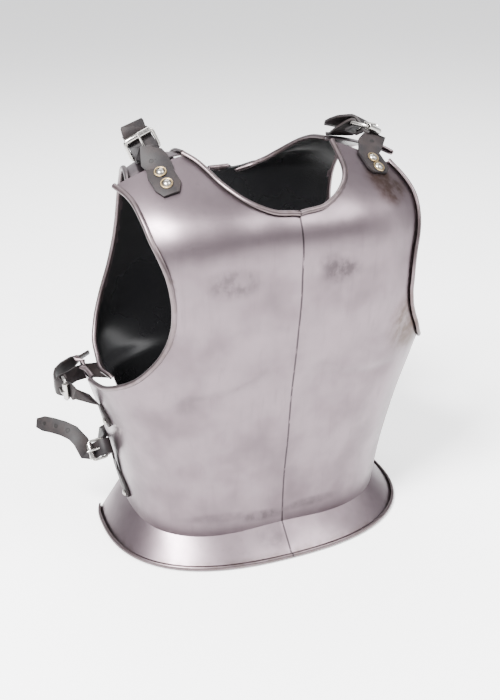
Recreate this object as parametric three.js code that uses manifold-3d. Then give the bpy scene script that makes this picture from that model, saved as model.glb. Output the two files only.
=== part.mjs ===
// A steel cuirass: a breastplate and a backplate joined by six leather straps with roller buckles.
// Millimetres, +Z up, the chest faces -Y and the wearer's left is +X. It stands on z = 0.
import * as THREE from "three";
import Module from "manifold-3d";
import { mergeVertices } from "three/addons/utils/BufferGeometryUtils.js";

const wasm = await Module();
wasm.setup();

// Driving dimensions.
const SHEET = 1.5; // plate thickness
const ROLL = 2.7; // radius of a rolled edge
const RIDGE = 2.5; // how far the central ridge stands out
const RIDGE_SPAN = 38; // half width of the ridge
const GAP = 0.3; // clearance between neighbouring pieces
const LEATHER = 2.4; // strap thickness
const FLANGE = { half: 170, front: 138, back: 100, square: 2.5, turn: 1.015 };
const BAR = 3; // thickness of a buckle's frame
const ROLLER = { inner: 2.4, outer: 3.3 };
const PRONG = 1.1; // radius of a prong

// The breastplate's level sections: height, half width, depth in front, depth behind, squareness.
const CHEST = [
  { z: 20, half: 144, front: 112, back: 85, square: 2.9 },
  { z: 80, half: 153, front: 117, back: 88, square: 3.0 },
  { z: 140, half: 164, front: 129, back: 92, square: 3.1 },
  { z: 200, half: 181, front: 139, back: 96, square: 3.2 },
  { z: 260, half: 198, front: 153, back: 98, square: 3.1 },
  { z: 320, half: 198, front: 163, back: 98, square: 2.9 },
  { z: 380, half: 182, front: 157, back: 92, square: 2.6 },
  { z: 434, half: 148, front: 86, back: 70, square: 2.4 },
];

// The waist crease: its height round the body.
const CREASE = [
  { turn: 0, z: 28 },
  { turn: 22, z: 24 },
  { turn: 42, z: 23 },
  { turn: 60, z: 26 },
  { turn: 80, z: 33 },
  { turn: 101, z: 37 },
];

// Breastplate rows above the crease. Each row runs from the ridge or the neck edge to the side edge
// or the armhole edge, and gives a height and a turn on the wearer's right and left at both ends.
const CHEST_ROWS = [
  { inZ: 45, inRight: 0, inLeft: 0, outZ: 60, outRight: 101, outLeft: 101 },
  { inZ: 64, inRight: 0, inLeft: 0, outZ: 92, outRight: 99.5, outLeft: 99.5 },
  { inZ: 83, inRight: 0, inLeft: 0, outZ: 125, outRight: 97.5, outLeft: 97.5 },
  { inZ: 102, inRight: 0, inLeft: 0, outZ: 158, outRight: 95, outLeft: 95 },
  { inZ: 122, inRight: 0, inLeft: 0, outZ: 188, outRight: 92, outLeft: 92 },
  { inZ: 142, inRight: 0, inLeft: 0, outZ: 211, outRight: 88.5, outLeft: 88.5 },
  { inZ: 163, inRight: 0, inLeft: 0, outZ: 207, outRight: 83, outLeft: 83 },
  { inZ: 184, inRight: 0, inLeft: 0, outZ: 202.5, outRight: 75.5, outLeft: 74 },
  { inZ: 206, inRight: 0, inLeft: 0, outZ: 204.5, outRight: 67.5, outLeft: 67 },
  { inZ: 228, inRight: 0, inLeft: 0, outZ: 213, outRight: 59.5, outLeft: 59.5 },
  { inZ: 250, inRight: 0, inLeft: 0, outZ: 225, outRight: 52.5, outLeft: 53.5 },
  { inZ: 271, inRight: 0, inLeft: 0, outZ: 241.5, outRight: 47, outLeft: 49 },
  { inZ: 292, inRight: 0, inLeft: 0, outZ: 258, outRight: 42.9, outLeft: 45.2 },
  { inZ: 313, inRight: 0, inLeft: 0, outZ: 275, outRight: 40.2, outLeft: 42.3 },
  { inZ: 335, inRight: 0, inLeft: 0, outZ: 292, outRight: 38.8, outLeft: 40.8 },
  { inZ: 358, inRight: 0, inLeft: 0, outZ: 309, outRight: 38.4, outLeft: 40.6 },
  { inZ: 381, inRight: 0, inLeft: 0, outZ: 326, outRight: 38.9, outLeft: 41.3 },
  { inZ: 383, inRight: 7.5, inLeft: 9, outZ: 342, outRight: 40, outLeft: 42.6 },
  { inZ: 388, inRight: 13.5, inLeft: 15, outZ: 357, outRight: 42, outLeft: 44 },
  { inZ: 394.5, inRight: 19, inLeft: 20.5, outZ: 369, outRight: 44.4, outLeft: 45.5 },
  { inZ: 401.5, inRight: 24, inLeft: 25.5, outZ: 379.5, outRight: 46.8, outLeft: 47 },
  { inZ: 408.5, inRight: 29, inLeft: 29.5, outZ: 388.5, outRight: 49.8, outLeft: 48 },
  { inZ: 416.5, inRight: 34.5, inLeft: 33, outZ: 396.5, outRight: 53.5, outLeft: 48.8 },
  { inZ: 423.5, inRight: 40.5, inLeft: 36, outZ: 402.5, outRight: 58, outLeft: 49.3 },
  { inZ: 429, inRight: 47, inLeft: 38.5, outZ: 407, outRight: 63.5, outLeft: 50 },
];
const NECK_ROW = 16; // the row in CHEST_ROWS at the bottom of the neck scoop
const TIP_ROW = 5; // the row in CHEST_ROWS at the point under the arm
const SHOULDER_CROWN = 3; // how far the shoulder's top edge bows up

// Backplate rows. Each row runs from the middle or the neck edge (x, y, z) to the side edge or the
// armhole edge (toX, toY, toZ). lead and tuck are shares of the row's width, drop of its depth, and
// they set how full the row is. crown lifts the middle of the row.
const BACK_ROWS = [
  { x: 0, y: 64, z: 2, toX: 131, toY: -2, toZ: 2, lead: 0.55, tuck: 0, drop: 0.72, crown: 0 },
  { x: 0, y: 66, z: 45, toX: 133, toY: -6, toZ: 50, lead: 0.55, tuck: 0, drop: 0.72, crown: 0 },
  { x: 0, y: 71, z: 92, toX: 141, toY: -9, toZ: 105, lead: 0.55, tuck: 0, drop: 0.72, crown: 0 },
  { x: 0, y: 77, z: 140, toX: 149, toY: -11, toZ: 152, lead: 0.55, tuck: 0, drop: 0.72, crown: 0 },
  { x: 0, y: 80, z: 168, toX: 156, toY: -12, toZ: 184, lead: 0.55, tuck: 0, drop: 0.72, crown: 0 },
  { x: 0, y: 82, z: 188, toX: 162, toY: 12, toZ: 189, lead: 0.55, tuck: 0, drop: 0.7, crown: 0 },
  { x: 0, y: 83, z: 208, toX: 162, toY: 34, toZ: 203, lead: 0.5, tuck: 0.02, drop: 0.75, crown: 0 },
  { x: 0, y: 84, z: 230, toX: 156, toY: 51, toZ: 225, lead: 0.45, tuck: 0.08, drop: 0.8, crown: 0 },
  { x: 0, y: 85, z: 258, toX: 144, toY: 60, toZ: 256, lead: 0.4, tuck: 0.2, drop: 0.8, crown: 0 },
  { x: 0, y: 85, z: 288, toX: 131, toY: 62, toZ: 290, lead: 0.4, tuck: 0.25, drop: 0.8, crown: 0 },
  { x: 0, y: 83, z: 318, toX: 124, toY: 58, toZ: 320, lead: 0.4, tuck: 0.25, drop: 0.8, crown: 0 },
  { x: 0, y: 80, z: 348, toX: 121, toY: 52, toZ: 345, lead: 0.4, tuck: 0.28, drop: 0.7, crown: 0 },
  { x: 0, y: 77, z: 372, toX: 120, toY: 44, toZ: 366, lead: 0.38, tuck: 0.3, drop: 0.6, crown: 2 },
  { x: 16, y: 76.5, z: 372.5, toX: 120, toY: 35, toZ: 380, lead: 0.35, tuck: 0.3, drop: 0.55, crown: 4 },
  { x: 33, y: 75, z: 375, toX: 121, toY: 24, toZ: 391, lead: 0.34, tuck: 0.3, drop: 0.5, crown: 6 },
  { x: 48, y: 67, z: 380, toX: 123, toY: 12, toZ: 399, lead: 0.33, tuck: 0.33, drop: 0.5, crown: 7 },
  { x: 60, y: 54, z: 389, toX: 125, toY: -1, toZ: 404, lead: 0.33, tuck: 0.33, drop: 0.45, crown: 8 },
  { x: 69, y: 36, z: 400, toX: 127, toY: -15, toZ: 407, lead: 0.33, tuck: 0.33, drop: 0.4, crown: 8 },
  { x: 75, y: 15, z: 410, toX: 130, toY: -31, toZ: 408.5, lead: 0.33, tuck: 0.33, drop: 0.35, crown: 7 },
  { x: 78, y: -10, z: 417, toX: 133, toY: -47, toZ: 408, lead: 0.33, tuck: 0.33, drop: 0.33, crown: 6 },
  { x: 79, y: -36, z: 420, toX: 136, toY: -62, toZ: 405.5, lead: 0.33, tuck: 0.33, drop: 0.33, crown: 5 },
];
const BACK_NECK_ROW = 12; // the row in BACK_ROWS at the bottom of the neck
const BACK_CORNER_ROW = 4; // the row in BACK_ROWS at the front corner under the arm
const BACK_SHIFT = 6; // how far the backplate sits to the wearer's left
const BACK_COLUMNS = 10;

const steel = (name) =>
  new THREE.MeshStandardMaterial({ name, color: 0xafa5aa, roughness: 0.32, metalness: 1 });
const leather = (name) =>
  new THREE.MeshStandardMaterial({ name, color: 0x3a3436, roughness: 0.6, metalness: 0 });
const nickel = (name) =>
  new THREE.MeshStandardMaterial({ name, color: 0xd9d4cf, roughness: 0.18, metalness: 1 });

// A smooth value from a table: a cubic through the rows of one column, read at `at` along another.
function read(table, along, column, at) {
  const last = table.length - 1;
  let i = 0;
  while (i < last - 1 && at > table[i + 1][along]) i++;
  const a = table[i];
  const b = table[i + 1];
  const span = b[along] - a[along];
  const t = (at - a[along]) / span;
  const slope = (k) => {
    const lo = table[Math.max(k - 1, 0)];
    const hi = table[Math.min(k + 1, last)];
    return (hi[column] - lo[column]) / (hi[along] - lo[along]);
  };
  const h00 = 2 * t ** 3 - 3 * t ** 2 + 1;
  const h10 = t ** 3 - 2 * t ** 2 + t;
  const h01 = -2 * t ** 3 + 3 * t ** 2;
  const h11 = t ** 3 - t ** 2;
  return h00 * a[column] + h10 * span * slope(i) + h01 * b[column] + h11 * span * slope(i + 1);
}

// A point of a level, squared-off ellipse, `turn` degrees round from the front.
function onOval(half, front, back, square, turn, z) {
  const angle = THREE.MathUtils.degToRad(turn);
  const s = Math.sin(angle);
  const c = Math.cos(angle);
  const depth = c > 0 ? front : back;
  const r = (Math.abs(s / half) ** square + Math.abs(c / depth) ** square) ** (-1 / square);
  return new THREE.Vector3(r * s, -r * c, z);
}

function chestPoint(turn, z) {
  const column = (name) => read(CHEST, "z", name, z);
  const front = column("front") - RIDGE;
  const p = onOval(column("half"), front, column("back"), column("square"), turn, z);
  if (Math.abs(turn) < 90) {
    p.y -= RIDGE * Math.max(0, 1 - Math.abs(p.x) / RIDGE_SPAN) ** 2;
  }
  return p;
}

function chestNormal(turn, z) {
  const across = chestPoint(turn + 0.5, z).sub(chestPoint(turn - 0.5, z));
  const up = chestPoint(turn, z + 1).sub(chestPoint(turn, z - 1));
  return across.cross(up).normalize();
}

// A closed sheet from two halves, each made of rows of points on the sheet's outer side. The first
// half is on the +X side, and rows 0 to joinRow of both halves start on the same points. rolled(row,
// column) tells whether the rim at that point is rolled outward.
function sheet(halves, joinRow, rolled) {
  const rows = halves[0];
  const columns = rows[0].length;
  const points = [];
  const index = halves.map((half, side) =>
    half.map((row, j) =>
      row.map((p, i) => {
        if (side > 0 && i === 0 && j <= joinRow) return -1;
        points.push(p);
        return points.length - 1;
      }),
    ),
  );
  index[1].forEach((row, j) => {
    if (row[0] < 0) row[0] = index[0][j][0];
  });
  const faces = [];
  index.forEach((half, side) => {
    for (let j = 0; j + 1 < rows.length; j++) {
      for (let i = 0; i + 1 < columns; i++) {
        const [a, b, c, d] = [half[j][i], half[j][i + 1], half[j + 1][i + 1], half[j + 1][i]];
        if (side === 0) faces.push([a, b, c], [a, c, d]);
        else faces.push([a, c, b], [a, d, c]);
      }
    }
  });
  const normals = points.map(() => new THREE.Vector3());
  for (const [a, b, c] of faces) {
    const ab = points[b].clone().sub(points[a]);
    const ac = points[c].clone().sub(points[a]);
    const n = ab.cross(ac);
    for (const k of [a, b, c]) normals[k].add(n);
  }
  normals.forEach((n) => n.normalize());
  // The rim, once round with the sheet on its left.
  const rim = [];
  const top = rows.length - 1;
  const end = columns - 1;
  const walk = (side, j, i) => rim.push({ k: index[side][j][i], rolled: rolled(j, i) });
  for (let i = 0; i < end; i++) walk(0, 0, i);
  for (let j = 0; j < top; j++) walk(0, j, end);
  for (let i = end; i > 0; i--) walk(0, top, i);
  for (let j = top; j > joinRow; j--) walk(0, j, 0);
  for (let j = joinRow; j < top; j++) walk(1, j, 0);
  for (let i = 0; i < end; i++) walk(1, top, i);
  for (let j = top; j > 0; j--) walk(1, j, end);
  for (let i = end; i > 0; i--) walk(1, 0, i);
  const count = rim.length;
  const both = (m) => rim[m].rolled && rim[(m + 1) % count].rolled;
  const inner = (k) => points[k].clone().addScaledVector(normals[k], -SHEET);
  const positions = [];
  const tri = (a, b, c) => positions.push(a.x, a.y, a.z, b.x, b.y, b.z, c.x, c.y, c.z);
  for (const [a, b, c] of faces) {
    tri(points[a], points[b], points[c]);
    tri(inner(a), inner(c), inner(b));
  }
  const rings = rim.map(({ k }, m) => {
    const before = both((m + count - 1) % count);
    const after = both(m);
    const from = before || !after ? rim[(m + count - 1) % count].k : k;
    const to = after || !before ? rim[(m + 1) % count].k : k;
    const tangent = points[to].clone().sub(points[from]).normalize();
    const out = tangent.cross(normals[k]).normalize();
    const centre = points[k].clone().addScaledVector(out, ROLL * 0.9);
    centre.addScaledVector(normals[k], ROLL - SHEET);
    const ring = [points[k]];
    for (const degrees of [40, 100, 160, 220, 272]) {
      const a = THREE.MathUtils.degToRad(degrees);
      const p = centre.clone().addScaledVector(out, -ROLL * Math.cos(a));
      ring.push(p.addScaledVector(normals[k], ROLL * Math.sin(a)));
    }
    ring.push(inner(k));
    return ring;
  });
  for (let m = 0; m < count; m++) {
    const next = (m + 1) % count;
    const a = rings[m];
    const b = rings[next];
    const last = a.length - 1;
    if (both(m)) {
      for (let s = 0; s < last; s++) {
        tri(a[s], a[s + 1], b[s]);
        tri(b[s], a[s + 1], b[s + 1]);
      }
    } else {
      tri(a[0], a[last], b[0]);
      tri(b[0], a[last], b[last]);
    }
    // A roll ends in a flat cap.
    if (both(m) !== both(next)) {
      for (let s = 1; s < last; s++) {
        if (both(m)) tri(b[0], b[s], b[s + 1]);
        else tri(b[0], b[s + 1], b[s]);
      }
    }
  }
  const geometry = new THREE.BufferGeometry();
  geometry.setAttribute("position", new THREE.Float32BufferAttribute(positions, 3));
  return geometry;
}

const COLUMNS = 12;

function chestRows(side) {
  const [inTurn, outTurn] = side > 0 ? ["inLeft", "outLeft"] : ["inRight", "outRight"];
  const rows = [];
  for (const share of [1, 0.5, 0]) {
    rows.push([]);
    for (let i = 0; i <= COLUMNS; i++) {
      const turn = (CHEST_ROWS[0].outRight * i) / COLUMNS;
      const { half, front, back } = FLANGE;
      const foot = onOval(half, front, back, FLANGE.square, side * turn * FLANGE.turn, ROLL);
      const crease = chestPoint(side * turn, read(CREASE, "turn", "z", turn));
      rows.at(-1).push(crease.lerp(foot, share));
    }
  }
  const last = CHEST_ROWS.length - 1;
  CHEST_ROWS.forEach((row, j) => {
    rows.push([]);
    const crown = SHOULDER_CROWN * Math.max(0, (j - NECK_ROW) / (last - NECK_ROW)) ** 2;
    for (let i = 0; i <= COLUMNS; i++) {
      const s = i / COLUMNS;
      const turn = row[inTurn] + (row[outTurn] - row[inTurn]) * s;
      const z = row.inZ + (row.outZ - row.inZ) * s + crown * 4 * s * (1 - s);
      rows.at(-1).push(chestPoint(side * turn, z));
    }
  });
  return rows;
}

function backPoint(row, s) {
  const start = new THREE.Vector3(row.x, row.y, row.z);
  const stop = new THREE.Vector3(row.toX, row.toY, row.toZ);
  const wide = row.toX - row.x;
  const deep = row.y - row.toY;
  const first = new THREE.Vector3(row.x + row.lead * wide, row.y, row.z + (row.toZ - row.z) / 3);
  const second = new THREE.Vector3(
    row.toX - row.tuck * wide,
    row.toY + row.drop * deep,
    row.toZ - (row.toZ - row.z) / 3,
  );
  first.z += row.crown;
  second.z += row.crown;
  return new THREE.CubicBezierCurve3(start, first, second, stop).getPoint(s);
}

const back = (p) => p.clone().add(new THREE.Vector3(BACK_SHIFT, 0, 0));

function backRows(side) {
  return BACK_ROWS.map((row) => {
    const line = [];
    for (let i = 0; i <= BACK_COLUMNS; i++) {
      const p = backPoint(row, i / BACK_COLUMNS);
      line.push(new THREE.Vector3(p.x * side, p.y, p.z));
    }
    return line.map(back);
  });
}

function solid(geometry) {
  const g = geometry.clone();
  g.deleteAttribute("normal");
  g.deleteAttribute("uv");
  const merged = mergeVertices(g.index ? g.toNonIndexed() : g, 1e-3);
  const vertProperties = merged.attributes.position.array;
  const triVerts = new Uint32Array(merged.index.array);
  return new wasm.Manifold(new wasm.Mesh({ numProp: 3, vertProperties, triVerts }));
}

function cut(geometry, cutters) {
  let body = solid(geometry);
  for (const cutter of cutters) body = body.subtract(solid(cutter));
  const mesh = body.getMesh();
  const out = new THREE.BufferGeometry();
  out.setAttribute("position", new THREE.BufferAttribute(mesh.vertProperties, 3));
  out.setIndex(new THREE.BufferAttribute(mesh.triVerts, 1));
  return out;
}

const cuirass = new THREE.Group();

function add(name, geometry, material) {
  const mesh = new THREE.Mesh(geometry, material);
  mesh.name = name;
  cuirass.add(mesh);
  return mesh;
}

const chestEdge = (j, i) => {
  if (j === 0) return true;
  if (i === COLUMNS) return j >= TIP_ROW + 3;
  return i === 0 && j >= NECK_ROW + 3;
};
add("breastplate", sheet([chestRows(1), chestRows(-1)], NECK_ROW + 3, chestEdge), steel("plate_steel"));

// The backplate faces the other way, so its halves change places.
const backEdge = (j, i) =>
  (i === BACK_COLUMNS && j >= BACK_CORNER_ROW) || (i === 0 && j >= BACK_NECK_ROW);
add("backplate", sheet([backRows(-1), backRows(1)], BACK_NECK_ROW, backEdge), steel("plate_steel"));

// Straps. Each set joins the plates at one place. The billet is riveted to the breastplate and the
// chape to the backplate. roller is the middle of a buckle's roller, toPivot points from it to the
// fixed bar and face is the buckle's front. The billet's stations on the plate are turn and height.
// over tells whether the billet crosses the fixed bar before it goes under the roller.
const SMALL = { strap: 16.5, width: 23.6, length: 15 };
const LARGE = { strap: 25, width: 32, length: 18 };
const SETS = [
  {
    name: "shoulder_right",
    size: LARGE,
    over: true,
    roller: [-120, -60, 446.6],
    toPivot: [0.4, 0, -0.917],
    face: [0, -1, 0],
    onPlate: [[-43.2, 402], [-46.6, 409.5], [-50, 415], [-52.6, 421.5]],
    rivets: [0.9, 2.2],
    lead: [[0, 1.2, 16]],
    tail: [[-121, -48, 451.5], [-118.5, -41, 446], [-114, -32, 438]],
    fold: [0, 1, 0],
    chape: [[-110, -44, 429]],
    anchor: [[-103, -22, 422], [-99, -4, 418]],
    away: [-0.2, 0.1, 1],
  },
  {
    name: "shoulder_left",
    size: LARGE,
    over: false,
    roller: [117, -72, 434],
    toPivot: [-0.53, 0.84, 0.1],
    face: [0.336, 0.157, 0.92],
    onPlate: [[40.8, 400.5], [42.5, 405], [44.5, 411], [47, 417]],
    rivets: [0.8, 2],
    lead: [],
    tail: [[101, -44, 440], [99, -30, 434], [98, -14, 429]],
    fold: [-0.45, 0.72, -0.5],
    chape: [[102, -42, 429]],
    anchor: [[104, -22, 418], [103, -6, 415]],
    away: [0.2, 0.1, 1],
  },
  {
    name: "side_upper_right",
    size: SMALL,
    over: false,
    roller: [-203, -22, 184],
    toPivot: [0, 1, 0],
    face: [-1, 0, 0],
    onPlate: [[-75, 146], [-76.5, 154], [-78, 162], [-79.5, 170]],
    rivets: [0.8],
    lead: [[0, -26, -8]],
    tail: [[-208, 12, 185], [-197, 30, 185.5], [-178, 42, 188], [-163, 44, 194]],
    fold: [0, 1, 0],
    chape: [[-196, 8, 183], [-180, 24, 181], [-160, 34, 176]],
    anchor: [[-136, 28, 169], [-128, 37, 168]],
    away: [-1, 0.3, 0],
  },
  {
    name: "side_lower_right",
    size: SMALL,
    over: true,
    roller: [-184, -26, 110.5],
    toPivot: [0.987, -0.04, 0.153],
    face: [-0.127, -0.78, 0.618],
    onPlate: [[-78, 48], [-80, 56], [-82.5, 64], [-85, 72]],
    rivets: [0.6],
    lead: [[4, 6.6, -14], [1, 6.8, -4], [0, 5, 4.8]],
    tail: [[-193.5, -10, 121.8], [-205, 5, 126.7], [-219, 20.5, 127.4], [-229.4, 32, 126]],
    fold: [-0.022, 0.778, -0.635],
    chape: [[-164, 6, 101], [-161, 28, 99], [-143, 41, 98]],
    anchor: [[-118, 37, 99], [-110, 43, 99]],
    away: [-0.7, -0.6, 0.3],
  },
  {
    name: "side_upper_left",
    size: SMALL,
    over: false,
    roller: [190, 22, 172],
    toPivot: [-0.3, 0.95, 0],
    face: [0.95, 0.3, 0],
    onPlate: [[80, 168], [84, 169], [88, 170]],
    rivets: [0.6],
    lead: [],
    tail: [[185, 50, 173], [176, 64, 174]],
    fold: [-0.3, 0.95, 0],
    chape: [[171, 54, 176]],
    anchor: [[150, 50, 180], [142, 58, 180]],
    away: [1, 0.5, 0],
  },
  {
    name: "side_lower_left",
    size: SMALL,
    over: false,
    roller: [173, 30, 92],
    toPivot: [-0.3, 0.95, 0],
    face: [0.95, 0.3, 0],
    onPlate: [[82, 90], [86, 91], [90, 92]],
    rivets: [0.6],
    lead: [],
    tail: [[169, 58, 92], [160, 72, 92]],
    fold: [-0.3, 0.95, 0],
    chape: [[152, 56, 96]],
    anchor: [[128, 46, 99], [118, 54, 99]],
    away: [1, 0.5, 0],
  },
];

const vec = (list) => new THREE.Vector3(...list);
const moved = (p, ...steps) => {
  const q = p.clone();
  for (const [direction, distance] of steps) q.addScaledVector(direction, distance);
  return q;
};

const STATION_STEPS = 1.5; // flat lengths of strap for each station

// A strap bent along its stations: p is the middle of its thickness and n the way its face looks.
function ribbon(stations, width, tipped) {
  const path = new THREE.CatmullRomCurve3(stations.map((s) => s.p), false, "centripetal");
  const facing = new THREE.CatmullRomCurve3(stations.map((s) => s.n), false, "centripetal");
  const place = (at) => {
    const t = at / (stations.length - 1);
    const along = path.getTangent(t);
    const side = facing.getPoint(t).cross(along).normalize();
    return { p: path.getPoint(t), side, normal: along.cross(side) };
  };
  const steps = Math.round((stations.length - 1) * STATION_STEPS);
  const flat = (at) => {
    const step = (stations.length - 1) / steps;
    const low = Math.floor(at / step);
    const [a, b] = [place(low * step), place((low + 1) * step)];
    const p = a.p.clone().lerp(b.p, at / step - low);
    return { p, normal: b.p.clone().sub(a.p).cross(a.side.add(b.side)).normalize() };
  };
  const geometry = new THREE.BoxGeometry(1, width, LEATHER, steps, 1, 1);
  const position = geometry.attributes.position;
  const [start, stop] = [stations[0].p, stations.at(-1).p];
  for (let k = 0; k < position.count; k++) {
    const u = THREE.MathUtils.clamp(position.getX(k) + 0.5, 0, 1);
    const { p, side, normal } = place(u * (stations.length - 1));
    const toStart = tipped[0] ? p.distanceTo(start) : width;
    const toStop = tipped[1] ? p.distanceTo(stop) : width;
    const share = Math.min(1, 0.6 + (0.4 * Math.min(toStart, toStop)) / (0.24 * width));
    p.addScaledVector(side, position.getY(k) * share);
    p.addScaledVector(normal, position.getZ(k));
    position.setXYZ(k, p.x, p.y, p.z);
  }
  geometry.userData.flat = flat;
  return geometry;
}

// Axes at a place: x across, y along and z out.
function axes(at, along, out) {
  const y = along.clone().normalize();
  const x = y.clone().cross(out).normalize();
  const z = x.clone().cross(y);
  return new THREE.Matrix4().makeBasis(x, y, z).setPosition(at);
}

function rounded(shape, width, height, radius) {
  const [w, h] = [width / 2, height / 2];
  shape.moveTo(radius - w, -h);
  shape.lineTo(w - radius, -h);
  shape.quadraticCurveTo(w, -h, w, radius - h);
  shape.lineTo(w, h - radius);
  shape.quadraticCurveTo(w, h, w - radius, h);
  shape.lineTo(radius - w, h);
  shape.quadraticCurveTo(-w, h, -w, h - radius);
  shape.lineTo(-w, radius - h);
  shape.quadraticCurveTo(-w, -h, radius - w, -h);
  return shape;
}

function frameGeometry({ width, length }) {
  const shape = rounded(new THREE.Shape(), width, length + BAR, 4);
  shape.holes.push(rounded(new THREE.Path(), width - 2 * BAR, length - BAR, 1.5));
  const bevel = 0.6;
  const geometry = new THREE.ExtrudeGeometry(shape, {
    depth: BAR - 2 * bevel,
    curveSegments: 2,
    bevelEnabled: true,
    bevelThickness: bevel,
    bevelSize: bevel,
    bevelOffset: -bevel,
    bevelSegments: 1,
  });
  return geometry.translate(0, length / 2, bevel - BAR / 2);
}

function rollerGeometry({ width }) {
  const half = (width - 2 * BAR - 2 * GAP) / 2;
  const { inner, outer } = ROLLER;
  const profile = [
    new THREE.Vector2(inner, -half),
    new THREE.Vector2(outer, -half),
    new THREE.Vector2(outer, half),
    new THREE.Vector2(inner, half),
    new THREE.Vector2(inner, -half),
  ];
  return new THREE.LatheGeometry(profile, 10).rotateZ(-Math.PI / 2);
}

const LOOP = 3.6; // from the fixed bar's middle to the middle of what turns round it
const UNDER = ROLLER.outer + GAP + LEATHER / 2 + 0.5; // from the roller's middle to the billet's
const OVER = LOOP + LEATHER + GAP + 0.6; // from the fixed bar's middle to the billet's

// The prong curls round the fixed bar and lies over the roller, in the buckle's own axes.
function prongGeometry(length, radius, sides) {
  const points = [];
  for (const degrees of [-150, -190, -235, -275, -315, -360]) {
    const a = THREE.MathUtils.degToRad(degrees);
    points.push(new THREE.Vector3(0, length - LOOP * Math.sin(a), LOOP * Math.cos(a)));
  }
  const rest = ROLLER.outer + GAP + PRONG;
  points.push(new THREE.Vector3(0, length * 0.5, (LOOP + rest) / 2 + 0.4));
  points.push(new THREE.Vector3(0, 0, rest + 0.1));
  points.push(new THREE.Vector3(0, -4.5, rest - 0.6));
  const circle = new THREE.Shape();
  circle.absarc(0, 0, radius, Math.PI / 12, Math.PI * 2 + Math.PI / 12);
  return new THREE.ExtrudeGeometry(circle, {
    steps: 11,
    curveSegments: sides,
    bevelEnabled: false,
    extrudePath: new THREE.CatmullRomCurve3(points, false, "centripetal"),
  });
}

const RIVET = [[0, 0], [4.2, 0], [4.2, 0.7], [2.4, 1.9], [0, 2.5]];

// A rivet's head on a strap's face, `at` stations along it.
function addRivet(name, strap, at) {
  const { p, normal } = strap.userData.flat(at);
  const outline = RIVET.map(([r, h]) => new THREE.Vector2(r, h));
  const geometry = new THREE.LatheGeometry(outline, 8);
  const turn = new THREE.Quaternion().setFromUnitVectors(new THREE.Vector3(0, 1, 0), normal);
  geometry.applyQuaternion(turn);
  const seat = moved(p, [normal, LEATHER / 2 + 2 * GAP]);
  add(name, geometry.translate(seat.x, seat.y, seat.z), nickel("rivet_steel"));
}

// The backplate's outer side, sampled, to seat the straps on.
const BACK_SEATS = [];
for (let j = 0; j + 1 < BACK_ROWS.length; j++) {
  for (const share of [0, 0.25, 0.5, 0.75]) {
    for (const mirror of [1, -1]) {
      for (let i = 1; i < 40; i++) {
        const at = (step, s) => {
          const low = backPoint(BACK_ROWS[j], s);
          const q = low.lerp(backPoint(BACK_ROWS[j + 1], s), share + step);
          return back(new THREE.Vector3(q.x * mirror, q.y, q.z));
        };
        const p = at(0, i / 40);
        const across = at(0, i / 40 + 0.01).sub(at(0, i / 40 - 0.01));
        const up = at(0.1, i / 40).sub(at(-0.1, i / 40));
        const n = across.cross(up).multiplyScalar(-mirror).normalize();
        BACK_SEATS.push({ p, n });
      }
    }
  }
}
function seatOnBack(place) {
  let best = BACK_SEATS[0];
  for (const seat of BACK_SEATS) {
    if (seat.p.distanceTo(place) < best.p.distanceTo(place)) best = seat;
  }
  return best;
}

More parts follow.
